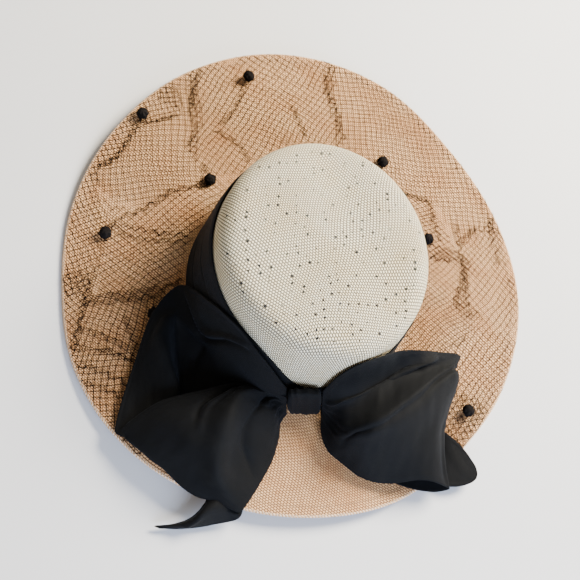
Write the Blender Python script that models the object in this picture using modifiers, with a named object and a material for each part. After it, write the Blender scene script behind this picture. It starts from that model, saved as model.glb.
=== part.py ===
# A wide straw boater with a pleated ribbon band, a large soft bow, a coarse net veil and round net dots.
# Shapes are worked out round the middle of the crown's base, then set with the middle of the plan at the origin.
# The bow is at -Y, +Z is up, and the lowest edge of the brim is at z = 0.

import bpy
import numpy as np

MM = 0.001

# Crown, outer sizes in mm: half widths at the foot and at the shoulder, and how far the tip leans.
FOOT_HALF_WIDTH = 92.6
FOOT_HALF_LENGTH = 99.4
TIP_HALF_WIDTH = 82.8
TIP_HALF_LENGTH = 93.1
TIP_SHIFT_X = 3.9
TIP_SHIFT_Y = 2.4
CROWN_HEIGHT = 91.0
SHOULDER_RADIUS = 13.6
STRAW = 1.8
SEAT_GAP = 0.3

# Brim, in mm: the height of its top at the crown, how far it stays level there, the mean reach of the rim,
# the turned hem, and how far the dents and the rim's waves rise.
BRIM_LEVEL = 12.6
LEVEL_RING = 4.0
RIM_REACH = 210.0
HEM_WIDTH = 9.0
HEM_EXTRA = 0.6
DENT_DEPTH = 2.2
RIM_LIFT = 14.0

# One row every 22.5 degrees from +X towards +Y: reach is a share of RIM_REACH, lift a share of RIM_LIFT,
# dent a share of DENT_DEPTH halfway out.
RIM_COLUMNS = ("reach", "lift", "dent")
RIM_ROWS = (
    (0.990, 0.29, 0.3),
    (1.040, 0.07, -0.5),
    (1.100, 0.00, -1.0),
    (1.188, 0.29, 0.4),
    (1.181, 0.79, 1.0),
    (1.115, 0.93, 0.2),
    (1.032, 0.64, 0.9),
    (0.970, 0.14, -0.8),
    (0.926, 0.00, -0.3),
    (0.933, 0.14, 0.5),
    (0.932, 0.43, -0.4),
    (0.915, 0.57, 0.0),
    (0.906, 0.64, 0.3),
    (0.912, 0.43, 0.0),
    (0.906, 0.07, -0.5),
    (0.945, 0.00, -0.2),
)

# Ribbon, in mm: the band's three pleats, and the cloth of the bow.
BAND_HEIGHT = 66.0
PLEATS = 3
PLEAT_FOOT = 1.5
PLEAT_RISE = 1.5
# At the front right the pleats lie flatter, fully so from a third of the way to the side, and the whole band
# dips towards the knot, over a longer way on the right.
RIGHT_STAND = 0.45
RIGHT_STAND_FROM = FOOT_HALF_WIDTH / 3.0
FRONT_DIP = 34.0
FRONT_DIP_LEFT = 34.0
FRONT_DIP_RIGHT = 50.0
KNOT_X = -6.3
RIBBON = 1.2
TAIL_CLEAR = 3.6
LOOP_CLEAR = 5.2
CLEAR_PAST_RIM = 6.0

# Knot, in mm.
KNOT_WIDTH = 27.0
KNOT_DEPTH = 8.5
KNOT_HEIGHT = 34.0
KNOT_ROUNDING = 3.8
KNOT_BACK = 101.1
KNOT_FOOT = 7.4
KNOT_LEAN = 0.15
KNOT_SLANT = -0.2

# Veil, in mm and degrees: strand thickness, height of its middle over the straw, and the bare front.
STRAND = 1.0
VEIL_RISE = 2.1
VEIL_FROM = -44.0
VEIL_TO = 224.0
VEIL_COLUMNS = 32
VEIL_ROWS = 6
RIM_MARGIN = 3.0
BAND_MARGIN = 6.5

# Dots: radius in mm, and one row each of the direction in degrees from +X towards +Y, the share of the way
# from the crown to the rim, and how far the dot drops between the strands towards the straw, in mm.
DOT_RADIUS = 4.7
DOT_SQUASH = 0.85
DOT_PLACES = (
    (129.4, 0.907, 1.5),
    (99.9, 0.800, 0.0),
    (126.3, 0.196, 2.5),
    (164.2, 0.685, 2.5),
    (57.1, 0.441, 2.5),
    (25.0, 0.311, 0.0),
    (324.7, 0.811, 0.0),
    (191.2, 0.300, 0.0),
)

# Middle of the whole plan and the lowest point, in mm, measured on the finished shapes.
PLAN_MIDDLE_X = 7.17
PLAN_MIDDLE_Y = 25.99
LOWEST = 0.49

ROUND_STEPS = 48
RIM_STEPS = 72


# Each ribbon row runs across the cloth, crown side first: x, y, z of each point in mm.
# Left loop: the first rows lie at the crown and on the brim, the row named fold turns over, the last come back.
LEFT_LOOP = (
    ((-23.2, -99.4, 50), (-20.9, -103.0, 39), (-19.2, -103.8, 31), (-18.1, -105.2, 26), (-17.1, -106.4, 21)),
    ((-39.9, -90.0, 69), (-39.2, -98.0, 48), (-39.0, -104.0, 32), (-38.0, -110.0, 24), (-35.0, -115.0, 19)),
    ((-55.1, -75.8, 79.2), (-56.7, -85.5, 56), (-56.0, -98.5, 31), (-53.0, -110.0, 21), (-48.0, -120.0, 18)),
    ((-68.5, -59.0, 80), (-70.0, -66.8, 59), (-73.0, -86.0, 28), (-69.0, -105.5, 19), (-62.0, -122.0, 17)),
    ((-83.5, -35.2, 62.5), (-85.6, -51.2, 35), (-88.0, -74.0, 22), (-83.5, -101.0, 18), (-73.0, -127.0, 17)),
    ((-100.9, -4.0, 22), (-103.0, -34.0, 23), (-101.0, -70.0, 19), (-94.0, -102.0, 18), (-80.0, -134.0, 17)),
    ((-122.5, -29.9, 25), (-116.5, -55.0, 28), (-110.0, -82.0, 24), (-100.0, -112.0, 18), (-84.0, -143.0, 17)),
    ((-134.2, -64.0, 18), (-126.0, -86.0, 20), (-115.0, -108.0, 19), (-102.0, -131.0, 17), (-85.0, -155.0, 16)),
    ((-144.9, -100.6, 15), (-131.0, -118.0, 17), (-115.0, -135.0, 17), (-97.0, -152.0, 16), (-77.0, -170.0, 15)),
    ((-149.4, -126.2, 14), (-131.0, -141.0, 19), (-112.0, -157.0, 19), (-91.0, -174.0, 18), (-66.0, -187.5, 14)),
    ((-139.0, -119.0, 20), (-122.0, -135.0, 29), (-103.0, -151.0, 31), (-82.0, -169.0, 25), (-57.1, -187.5, 17)),
    ((-125.3, -110.0, 27), (-111.0, -124.0, 38), (-93.0, -141.0, 42), (-72.0, -161.0, 32), (-50.8, -181.5, 18)),
    ((-105.8, -102.6, 34), (-94.0, -114.0, 42), (-78.0, -130.0, 47), (-60.0, -149.0, 34), (-42.8, -170.0, 19)),
    ((-79.9, -97.5, 40), (-72.0, -106.0, 45), (-60.0, -118.0, 47), (-45.0, -133.0, 36), (-31.2, -150.7, 20)),
    ((-58.0, -93.5, 43), (-53.0, -101.0, 45), (-44.0, -111.0, 44), (-33.0, -121.0, 35), (-24.6, -132.8, 21)),
    ((-39.0, -97.6, 44), (-36.5, -101.5, 42), (-32.5, -107.0, 38), (-27.0, -113.0, 32), (-23.2, -119.8, 22)),
    ((-21.5, -104.0, 42), (-20.5, -105.8, 37), (-19.5, -107.6, 32), (-18.4, -109.4, 27), (-17.4, -111.0, 22)),
)

# Right loop: the first rows come out of the knot over a ridge, the last go back along the brim.
RIGHT_LOOP = (
    ((5.9, -100.4, 49), (7.2, -103.4, 42), (8.9, -106.5, 34), (10.1, -109.0, 28), (11.0, -111.5, 23)),
    ((12.6, -96.0, 74), (18.5, -101.0, 45), (18.0, -114.0, 35), (14.0, -121.0, 27), (11.0, -128.5, 20)),
    ((25.5, -91.0, 87), (32.8, -98.5, 46), (25.0, -126.0, 44), (20.0, -134.0, 33), (16.0, -140.0, 20)),
    ((43.5, -83.8, 85), (49.4, -93.0, 46), (37.0, -126.5, 54), (31.0, -139.0, 40), (26.0, -149.5, 20)),
    ((60.5, -76.0, 76), (66.0, -86.5, 46), (50.0, -123.5, 60), (46.0, -142.0, 43), (41.5, -160.5, 19)),
    ((83.0, -68.5, 63), (85.0, -78.5, 50), (69.0, -113.0, 62), (66.0, -140.0, 44), (61.5, -165.0, 19)),
    ((106.0, -65.5, 52), (104.5, -76.0, 50), (97.0, -96.5, 57), (93.0, -132.0, 42), (90.0, -164.0, 26)),
    ((127.5, -63.0, 41), (122.0, -74.0, 45), (121.0, -88.0, 44), (109.5, -124.0, 33), (112.5, -167.5, 19)),
    ((128.0, -66.5, 29), (123.0, -80.0, 27), (121.0, -97.0, 23), (111.0, -129.0, 19), (114.0, -169.0, 14)),
    ((112.0, -76.0, 18), (108.0, -90.0, 17), (105.0, -108.0, 15), (102.0, -136.0, 13), (99.0, -170.0, 12)),
    ((84.0, -84.0, 18), (81.0, -96.0, 17), (78.0, -112.0, 16), (76.0, -135.0, 15), (74.0, -165.0, 13)),
    ((54.0, -97.0, 18), (52.0, -106.0, 18), (49.0, -118.0, 17), (45.0, -132.0, 16), (40.0, -148.0, 16)),
    ((26.0, -105.0, 20), (25.0, -110.0, 19), (23.5, -116.0, 18), (21.0, -122.0, 17), (18.0, -129.0, 17)),
    ((11.2, -103.6, 21.6), (11.4, -105.0, 20.4), (11.7, -106.4, 19.4), (11.8, -107.8, 18.6), (11.9, -109.2, 18)),
)

# Tails: rows run across the cloth, from under the loop to the cut end.
LEFT_TAIL = (
    ((-78.0, -150.0, 14), (-68.0, -157.0, 14), (-56.0, -164.0, 14)),
    ((-80.0, -164.0, 13.5), (-69.0, -170.0, 13), (-55.0, -176.0, 13)),
    ((-80.0, -178.0, 12), (-70.0, -184.0, 11), (-58.0, -189.5, 11)),
    ((-89.0, -188.0, 9), (-82.0, -191.0, 8.5), (-73.0, -193.8, 8.5)),
    ((-103.0, -193.0, 6.5), (-99.0, -194.6, 6), (-93.0, -196.4, 6.5)),
    ((-118.5, -194.6, 5), (-117.6, -195.2, 4.8), (-115.0, -196.4, 5)),
)
RIGHT_TAIL = (
    ((88.0, -106.0, 0), (84.0, -131.0, 0), (82.0, -155.0, 0)),
    ((104.0, -110.0, 0), (100.0, -135.0, 0), (98.0, -160.0, 0)),
    ((118.0, -119.0, 11), (115.0, -142.0, 9), (114.0, -164.5, 9)),
    ((131.0, -131.6, 13), (129.0, -149.0, 12), (127.0, -165.0, 9.5)),
    ((140.2, -144.3, 12), (140.0, -153.0, 11.5), (138.2, -161.9, 10)),
    ((143.5, -151.0, 11), (144.0, -154.5, 10.8), (143.0, -158.0, 10.4)),
)


def clear_scene():
    for item in list(bpy.data.objects):
        bpy.data.objects.remove(item, do_unlink=True)


def make_material(name, colour, roughness):
    material = bpy.data.materials.new(name)
    material.use_nodes = True
    shader = material.node_tree.nodes["Principled BSDF"]
    shader.inputs["Base Color"].default_value = (colour[0], colour[1], colour[2], 1.0)
    shader.inputs["Roughness"].default_value = roughness
    material.diffuse_color = (colour[0], colour[1], colour[2], 1.0)
    return material


def along(rows, count, closed=False):
    # Smooth curve through the rows, sampled evenly in row number.
    rows = np.asarray(rows, dtype=float)
    total = len(rows)
    if closed:
        place = np.arange(count) * total / count
    else:
        place = np.linspace(0.0, total - 1.0, count)
    first = np.floor(place).astype(int)
    if not closed:
        first = np.minimum(first, total - 2)
    part = (place - first).reshape((-1,) + (1,) * (rows.ndim - 1))
    picks = []
    for step in (-1, 0, 1, 2):
        index = first + step
        if closed:
            index = index % total
        else:
            index = np.clip(index, 0, total - 1)
        picks.append(rows[index])
    before, start, end, after = picks
    slope_a = (end - before) / 2.0
    slope_b = (after - start) / 2.0
    h00 = 2 * part ** 3 - 3 * part ** 2 + 1
    h10 = part ** 3 - 2 * part ** 2 + part
    h01 = -2 * part ** 3 + 3 * part ** 2
    h11 = part ** 3 - part ** 2
    return h00 * start + h10 * slope_a + h01 * end + h11 * slope_b


RIM_CURVE_STEPS = 720
RIM_CURVES = along(RIM_ROWS, RIM_CURVE_STEPS, closed=True)


def rim_column(name, angle):
    column = RIM_CURVES[:, RIM_COLUMNS.index(name)]
    place = np.degrees(angle) % 360.0
    degrees = np.arange(RIM_CURVE_STEPS + 1) * 360.0 / RIM_CURVE_STEPS
    return np.interp(place, degrees, np.append(column, column[0]))


def oval_reach(angle, half_width, half_length):
    # Distance from the middle to an oval's edge in a direction.
    return 1.0 / np.sqrt((np.cos(angle) / half_width) ** 2 + (np.sin(angle) / half_length) ** 2)


def brim_top(x, y):
    # Height of the straw's top surface, level at the crown and wavy at the rim.
    angle = np.arctan2(y, x)
    inner = oval_reach(angle, FOOT_HALF_WIDTH + LEVEL_RING, FOOT_HALF_LENGTH + LEVEL_RING)
    outer = RIM_REACH * rim_column("reach", angle)
    share = np.clip((np.hypot(x, y) - inner) / (outer - inner), 0.0, 1.0)
    rim_level = STRAW + 2 * HEM_EXTRA + RIM_LIFT * rim_column("lift", angle)
    dent = DENT_DEPTH * rim_column("dent", angle) * np.sin(np.pi * share) ** 2
    return BRIM_LEVEL + (rim_level - BRIM_LEVEL) * share ** 1.5 + dent


def crown_ring(angle, height, inset):
    # A ring of the crown's wall at a height over its foot, drawn in by inset.
    share = height / CROWN_HEIGHT
    half_width = FOOT_HALF_WIDTH + (TIP_HALF_WIDTH - FOOT_HALF_WIDTH) * share - inset
    half_length = FOOT_HALF_LENGTH + (TIP_HALF_LENGTH - FOOT_HALF_LENGTH) * share - inset
    x = TIP_SHIFT_X * share + half_width * np.cos(angle)
    y = TIP_SHIFT_Y * share + half_length * np.sin(angle)
    return np.stack([x, y, np.full_like(angle, BRIM_LEVEL) + height], axis=-1)


def place_mesh(name, points, faces, material, collection, smooth=True):
    shift = np.array([PLAN_MIDDLE_X, PLAN_MIDDLE_Y, LOWEST])
    mesh = bpy.data.meshes.new(name)
    mesh.from_pydata(((np.asarray(points) - shift) * MM).tolist(), [], faces)
    mesh.materials.append(material)
    for face in mesh.polygons:
        face.use_smooth = smooth
    mesh.update()
    item = bpy.data.objects.new(name, mesh)
    collection.objects.link(item)
    return item


def grid_faces(rows, columns, closed_rows, closed_columns):
    faces = []
    for row in range(rows if closed_rows else rows - 1):
        for column in range(columns if closed_columns else columns - 1):
            next_row = (row + 1) % rows
            next_column = (column + 1) % columns
            corner = row * columns
            other = next_row * columns
            faces.append((corner + column, corner + next_column, other + next_column, other + column))
    return faces


def thicken(item, thickness, offset):
    modifier = item.modifiers.new("thickness", "SOLIDIFY")
    modifier.thickness = thickness * MM
    modifier.offset = offset
    modifier.use_even_offset = True
    modifier.use_rim = True


def make_crown(material, collection):
    # The wall, the round of the shoulder and the flat tip as one outer skin, thickened inwards.
    angle = np.arange(ROUND_STEPS) * 2 * np.pi / ROUND_STEPS
    wall_top = CROWN_HEIGHT - SHOULDER_RADIUS
    rings = [crown_ring(angle, height, 0.0) for height in np.linspace(SEAT_GAP, wall_top, 4)]
    for turn in np.radians((22.5, 45.0, 67.5, 90.0)):
        height = wall_top + SHOULDER_RADIUS * np.sin(turn)
        rings.append(crown_ring(angle, height, SHOULDER_RADIUS * (1.0 - np.cos(turn))))
    flat = rings[-1]
    middle = flat.mean(axis=0)
    rings.append(middle + (flat - middle) * 0.5)
    points = np.concatenate(rings + [middle[None, :]])
    faces = grid_faces(len(rings), ROUND_STEPS, False, True)
    last = (len(rings) - 1) * ROUND_STEPS
    for step in range(ROUND_STEPS):
        faces.append((last + step, last + (step + 1) % ROUND_STEPS, len(points) - 1))
    item = place_mesh("crown", points, faces, material, collection)
    thicken(item, STRAW, -1.0)
    return item


def make_brim(material, collection):
    # A closed section, head hole to turned hem and back below, carried round the crown.
    angle = np.arange(RIM_STEPS) * 2 * np.pi / RIM_STEPS
    hole = oval_reach(angle, FOOT_HALF_WIDTH - STRAW, FOOT_HALF_LENGTH - STRAW)
    foot = oval_reach(angle, FOOT_HALF_WIDTH + LEVEL_RING, FOOT_HALF_LENGTH + LEVEL_RING)
    rim = RIM_REACH * rim_column("reach", angle)
    hem = rim - HEM_WIDTH
    reaches = [hole, foot] + [foot + (hem - foot) * share for share in (0.25, 0.5, 0.75, 1.0)]
    raised = [0.0] * len(reaches)
    reaches += [hem + HEM_EXTRA, rim - HEM_EXTRA]
    raised += [HEM_EXTRA, HEM_EXTRA]
    upper = []
    lower = []
    for reach, extra in zip(reaches, raised):
        x = reach * np.cos(angle)
        y = reach * np.sin(angle)
        top = brim_top(x, y)
        upper.append(np.stack([x, y, top + extra], axis=-1))
        lower.append(np.stack([x, y, top - STRAW - extra], axis=-1))
    x = rim * np.cos(angle)
    y = rim * np.sin(angle)
    edge = np.stack([x, y, brim_top(x, y) - STRAW / 2], axis=-1)
    rings = upper + [edge] + lower[::-1]
    faces = grid_faces(len(rings), RIM_STEPS, True, True)
    faces = [face[::-1] for face in faces]
    return place_mesh("brim", np.concatenate(rings), faces, material, collection)


def make_band(material, collection):
    # Ribbon laid in level pleats against the crown's wall, lower where the knot holds it down.
    angle = np.arange(ROUND_STEPS) * 2 * np.pi / ROUND_STEPS
    side = crown_ring(angle, 0.0, 0.0)
    front = np.where(side[:, 1] < 0, 1.0, 0.0)
    reach = np.where(side[:, 0] < KNOT_X, FRONT_DIP_LEFT, FRONT_DIP_RIGHT)
    dip = FRONT_DIP * front * np.exp(-((side[:, 0] - KNOT_X) / reach) ** 2)
    height = BAND_HEIGHT - dip
    levels = [0.0]
    stands = [PLEAT_FOOT]
    for pleat in range(PLEATS):
        for share in (0.2, 0.8, 1.0):
            levels.append((pleat + share) / PLEATS)
            stands.append(PLEAT_FOOT if share == 1.0 else PLEAT_FOOT + PLEAT_RISE)
    rings = []
    flattened = 1.0 - (1.0 - RIGHT_STAND) * front * np.clip(side[:, 0] / RIGHT_STAND_FROM, 0.0, 1.0)
    for level, stand in zip(levels, stands):
        rings.append(crown_ring(angle, 2 * SEAT_GAP + level * height, -stand * flattened - SEAT_GAP))
    for level in (1.0, 0.5, 0.0):
        rings.append(crown_ring(angle, 2 * SEAT_GAP + level * height, -SEAT_GAP))
    faces = grid_faces(len(rings), ROUND_STEPS, True, True)
    return place_mesh("hat_band", np.concatenate(rings), faces, material, collection)


def make_ribbon(name, rows, clear, counts, material, collection):
    # Cloth through the rows, kept clear of the straw, then thickened both ways.
    sheet = along(rows, counts[0])
    sheet = along(np.swapaxes(sheet, 0, 1), counts[1])
    sheet = np.swapaxes(sheet, 0, 1)
    floor = brim_top(sheet[..., 0], sheet[..., 1]) + clear
    reach = np.hypot(sheet[..., 0], sheet[..., 1])
    angle = np.arctan2(sheet[..., 1], sheet[..., 0])
    over_straw = reach < RIM_REACH * rim_column("reach", angle) + CLEAR_PAST_RIM
    sheet[..., 2] = np.where(over_straw, np.maximum(sheet[..., 2], floor), sheet[..., 2])
    faces = grid_faces(counts[0], counts[1], False, False)
    item = place_mesh(name, sheet.reshape(-1, 3), faces, material, collection)
    thicken(item, RIBBON, 0.0)
    return item


def make_knot(material, collection):
    # A soft block that wraps the middle of the bow, standing just off the band.
    depth_middle = -KNOT_BACK - KNOT_DEPTH / 2
    height_middle = BRIM_LEVEL + KNOT_FOOT + KNOT_HEIGHT / 2
    bpy.ops.mesh.primitive_cube_add(size=1.0)
    item = bpy.context.active_object
    item.name = "bow_knot"
    item.data.name = "bow_knot"
    for corner in item.data.vertices:
        corner.co.x *= KNOT_WIDTH * MM
        corner.co.y *= KNOT_DEPTH * MM
        corner.co.z *= KNOT_HEIGHT * MM
        corner.co.x += corner.co.z * KNOT_SLANT
        corner.co.y += corner.co.z * KNOT_LEAN
    item.location = (
        (KNOT_X - PLAN_MIDDLE_X) * MM,
        (depth_middle - PLAN_MIDDLE_Y) * MM,
        (height_middle - LOWEST) * MM,
    )
    modifier = item.modifiers.new("rounding", "BEVEL")
    modifier.width = KNOT_ROUNDING * MM
    modifier.segments = 3
    modifier.limit_method = "NONE"
    item.data.materials.append(material)
    for face in item.data.polygons:
        face.use_smooth = True
    move_to(item, collection)
    return item


def make_dot(index, place, material, collection):
    bpy.ops.mesh.primitive_ico_sphere_add(subdivisions=2, radius=DOT_RADIUS * MM)
    item = bpy.context.active_object
    item.name = "dot_%d" % index
    item.data.name = item.name
    for corner in item.data.vertices:
        corner.co.z *= DOT_SQUASH
    direction, share, drop = place
    angle = np.radians(direction)
    inner = oval_reach(angle, FOOT_HALF_WIDTH + LEVEL_RING, FOOT_HALF_LENGTH + LEVEL_RING)
    outer = RIM_REACH * rim_column("reach", angle)
    reach = inner + (outer - inner) * share
    x = reach * np.cos(angle)
    y = reach * np.sin(angle)
    rise = VEIL_RISE + STRAND / 2 + SEAT_GAP + DOT_RADIUS * DOT_SQUASH - drop
    item.location = (
        (x - PLAN_MIDDLE_X) * MM,
        (y - PLAN_MIDDLE_Y) * MM,
        (float(brim_top(x, y)) + rise - LOWEST) * MM,
    )
    item.data.materials.append(material)
    for face in item.data.polygons:
        face.use_smooth = True
    move_to(item, collection)
    return item


def move_to(item, collection):
    for owner in list(item.users_collection):
        owner.objects.unlink(item)
    collection.objects.link(item)


def make_veil(material, collection):
    # A coarse diamond net over the brim, its front left bare, every gap open.
    points = []
    index = {}
    for column in range(VEIL_COLUMNS + 1):
        for row in range(VEIL_ROWS + 1):
            if (column + row) % 2 == 0:
                angle = np.radians(VEIL_FROM + (VEIL_TO - VEIL_FROM) * column / VEIL_COLUMNS)
                inner = oval_reach(angle, FOOT_HALF_WIDTH + BAND_MARGIN, FOOT_HALF_LENGTH + BAND_MARGIN)
                outer = RIM_REACH * rim_column("reach", angle) - RIM_MARGIN
                reach = inner + (outer - inner) * row / VEIL_ROWS
                x = reach * np.cos(angle)
                y = reach * np.sin(angle)
                index[(column, row)] = len(points)
                points.append((x, y, float(brim_top(x, y)) + VEIL_RISE))
    faces = []
    for column in range(VEIL_COLUMNS + 1):
        for row in range(VEIL_ROWS + 1):
            if (column + row) % 2 == 1:
                around = ((column - 1, row), (column, row - 1), (column + 1, row), (column, row + 1))
                corners = [index[key] for key in around if key in index]
                faces.append(tuple(corners))
    item = place_mesh("veil", points, faces, material, collection, smooth=False)
    modifier = item.modifiers.new("strands", "WIREFRAME")
    modifier.thickness = STRAND * MM
    modifier.use_even_offset = True
    modifier.use_boundary = True
    modifier.use_replace = True
    return item


def build():
    clear_scene()
    collection = bpy.data.collections.new("boater_hat")
    bpy.context.scene.collection.children.link(collection)
    pale_straw = make_material("pale_straw", (0.76, 0.69, 0.56), 0.8)
    tan_straw = make_material("tan_straw", (0.58, 0.40, 0.25), 0.8)
    black_ribbon = make_material("black_ribbon", (0.015, 0.017, 0.022), 0.6)
    black_net = make_material("black_net", (0.02, 0.018, 0.018), 0.8)
    black_tuft = make_material("black_tuft", (0.012, 0.011, 0.011), 0.95)
    make_crown(pale_straw, collection)
    make_brim(tan_straw, collection)
    make_band(black_ribbon, collection)
    make_knot(black_ribbon, collection)
    make_ribbon("bow_loop_left", LEFT_LOOP, LOOP_CLEAR, (36, 11), black_ribbon, collection)
    make_ribbon("bow_loop_right", RIGHT_LOOP, LOOP_CLEAR, (31, 11), black_ribbon, collection)
    make_ribbon("bow_tail_left", LEFT_TAIL, TAIL_CLEAR, (12, 6), black_ribbon, collection)
    make_ribbon("bow_tail_right", RIGHT_TAIL, TAIL_CLEAR, (12, 6), black_ribbon, collection)
    make_veil(black_net, collection)
    for number, place in enumerate(DOT_PLACES, start=1):
        make_dot(number, place, black_tuft, collection)


build()
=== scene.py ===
import bpy
import bmesh
import numpy as np
from mathutils import Matrix, Vector


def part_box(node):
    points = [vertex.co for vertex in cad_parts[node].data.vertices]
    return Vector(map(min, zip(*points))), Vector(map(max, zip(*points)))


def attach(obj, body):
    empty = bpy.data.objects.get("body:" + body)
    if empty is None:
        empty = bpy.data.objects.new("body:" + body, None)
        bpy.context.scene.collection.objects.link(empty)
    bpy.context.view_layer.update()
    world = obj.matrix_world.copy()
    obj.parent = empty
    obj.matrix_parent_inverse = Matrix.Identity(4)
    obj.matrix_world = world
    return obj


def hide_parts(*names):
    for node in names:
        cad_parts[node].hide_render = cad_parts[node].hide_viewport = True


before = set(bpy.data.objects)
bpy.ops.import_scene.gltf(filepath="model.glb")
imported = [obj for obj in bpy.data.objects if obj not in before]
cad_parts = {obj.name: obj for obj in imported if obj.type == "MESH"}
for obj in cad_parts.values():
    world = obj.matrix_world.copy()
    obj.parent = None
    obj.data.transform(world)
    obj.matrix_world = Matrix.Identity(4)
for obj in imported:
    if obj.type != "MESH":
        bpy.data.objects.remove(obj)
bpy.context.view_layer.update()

mm = 0.001
planShift = np.array([7.17, 25.99, 0.49])  # from the middle of the crown's foot to the frame's origin
print("frame loaded")


def toFrame(points):
    # Millimetres round the crown's foot to metres in the frame.
    return (np.asarray(points, dtype=float) - planShift) * mm


def unit(vectors):
    # Each vector over its own length.
    return vectors / np.maximum(np.linalg.norm(vectors, axis=-1, keepdims=True), 1e-9)


def runLengths(points):
    # Running length of a line through the points, from 0.
    return np.concatenate([[0.0], np.cumsum(np.linalg.norm(np.diff(points, axis=0), axis=-1))])


def onceRound(steps):
    # Angles once round, with the first again at the end.
    return np.arange(steps + 1) * 2 * np.pi / steps


def along(rows, count, closed=False):
    # Cubic through the rows: each slope is half the step between a row's two neighbours.
    rows = np.asarray(rows, dtype=float)
    total = len(rows)
    place = np.arange(count) * total / count if closed else np.linspace(0.0, total - 1.0, count)
    first = np.floor(place).astype(int)
    if not closed:
        first = np.minimum(first, total - 2)
    part = (place - first).reshape((-1,) + (1,) * (rows.ndim - 1))
    pick = [rows[(first + s) % total] if closed else rows[np.clip(first + s, 0, total - 1)] for s in (-1, 0, 1, 2)]
    slopeA, slopeB = (pick[2] - pick[0]) / 2, (pick[3] - pick[1]) / 2
    return ((2 * part ** 3 - 3 * part ** 2 + 1) * pick[1] + (part ** 3 - 2 * part ** 2 + part) * slopeA
            + (-2 * part ** 3 + 3 * part ** 2) * pick[2] + (part ** 3 - part ** 2) * slopeB)


def softWaves(x, y, length, seed, count=7):
    # Sum of sines in seeded directions, each near the given wavelength, scaled to about -1 to 1.
    rng = np.random.default_rng(seed)
    total = np.zeros(np.broadcast(x, y).shape)
    for heading, phase, stretch in zip(rng.uniform(0, np.pi, count), rng.uniform(0, 2 * np.pi, count),
                                       rng.uniform(0.7, 1.5, count)):
        wave = 2 * np.pi / (length * stretch)
        total = total + np.sin(wave * (np.cos(heading) * x + np.sin(heading) * y) + phase)
    return total / np.sqrt(count) / 1.4


def smooth(edgeA, edgeB, value):
    # 0 before edgeA, 1 after edgeB, an even S between them.
    part = np.clip((value - edgeA) / (edgeB - edgeA), 0, 1)
    return part * part * (3 - 2 * part)


def cornersOf(grid):
    # The four neighbours round each cell of a grid, in turn.
    return np.stack([grid[:-1, :-1], grid[:-1, 1:], grid[1:, 1:], grid[1:, :-1]], axis=2)


def gridMesh(name, points, material, closedRows=False, closedColumns=True, uv=None, flip=False, weld=False):
    # Quads between neighbouring points of a [rows, columns] grid, wrapped where a side is closed.
    rows, columns = points.shape[:2]
    index = np.arange(rows * columns).reshape(rows, columns)
    if closedRows:
        index = np.vstack([index, index[:1]])
    if closedColumns:
        index = np.hstack([index, index[:, :1]])
    quads = cornersOf(index).reshape(-1, 4)
    layers = {layer: cornersOf(values).reshape(-1, 4, 2) for layer, values in (uv or {}).items()}
    if flip:
        quads = quads[:, ::-1]
        layers = {layer: values[:, ::-1] for layer, values in layers.items()}
    return faceMesh(name, points.reshape(-1, 3), quads.tolist(), material, layers, weld)


def addObject(name, data):
    item = bpy.data.objects.new(name, data)
    bpy.context.scene.collection.objects.link(item)
    return item


def faceMesh(name, points, faces, material, layers=None, weld=False):
    # Points in mm and faces as lists of their numbers, smooth shaded.
    mesh = bpy.data.meshes.new(name)
    mesh.from_pydata(toFrame(points).tolist(), [], faces)
    for layer, values in (layers or {}).items():
        mesh.uv_layers.new(name=layer).data.foreach_set("uv", np.ascontiguousarray(values).ravel())
    mesh.polygons.foreach_set("use_smooth", np.ones(len(mesh.polygons), dtype=bool))
    mesh.materials.append(material)
    if weld:  # rows that shrink to a point become one pole
        work = bmesh.new()
        work.from_mesh(mesh)
        bmesh.ops.remove_doubles(work, verts=work.verts, dist=1e-6)
        work.to_mesh(mesh)
        work.free()
    mesh.update()
    return addObject(name, mesh)


def thicken(item, thickness, offset, even=True):
    # A wall in mm: to the inside of the sheet at -1, to both sides at 0.
    solidify = item.modifiers.new("thickness", "SOLIDIFY")
    solidify.thickness = thickness * mm
    solidify.offset = offset
    solidify.use_even_offset = even
    solidify.use_rim = True


def settle(item, nodes):
    # The piece stands for these nodes and rides on the hat.
    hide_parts(*nodes)
    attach(item, "root")


def hexColour(code):
    # sRGB hex to linear colour.
    value = np.array([int(code[i:i + 2], 16) for i in (1, 3, 5)]) / 255
    linear = np.where(value <= 0.04045, value / 12.92, ((value + 0.055) / 1.055) ** 2.4)
    return (*linear.tolist(), 1.0)


def addNode(tree, kind, settings=None, links=None):
    # One node with its settings and links; a whole number names a socket by its place, and a node stands for its
    # first output.
    node = tree.nodes.new("ShaderNode" + kind)
    for key, value in (settings or {}).items():
        if isinstance(key, str) and hasattr(node, key):
            setattr(node, key, value)
        else:
            node.inputs[key].default_value = value
    for key, source in (links or {}).items():
        tree.links.new(getattr(source, "outputs", [source])[0], node.inputs[key])
    return node


def newMaterial(name, roughness, specular):
    # A plain surface to which the patterns are added.
    material = bpy.data.materials.new(name)
    material.use_nodes = True
    tree = material.node_tree
    shader = tree.nodes["Principled BSDF"]
    for key, value in (("Roughness", roughness), ("Specular IOR Level", specular), ("IOR", 1.5)):
        shader.inputs[key].default_value = value
    return material, tree, shader


def dressShader(tree, shader, colour, height, strength, depth, invert=True):
    # The colour, and a bump of the given strength and depth in mm.
    tree.links.new(colour, shader.inputs["Base Color"])
    bump = addNode(tree, "Bump", {"invert": invert, "Strength": strength, "Distance": depth * mm}, {"Height": height})
    tree.links.new(bump.outputs[0], shader.inputs["Normal"])


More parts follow.
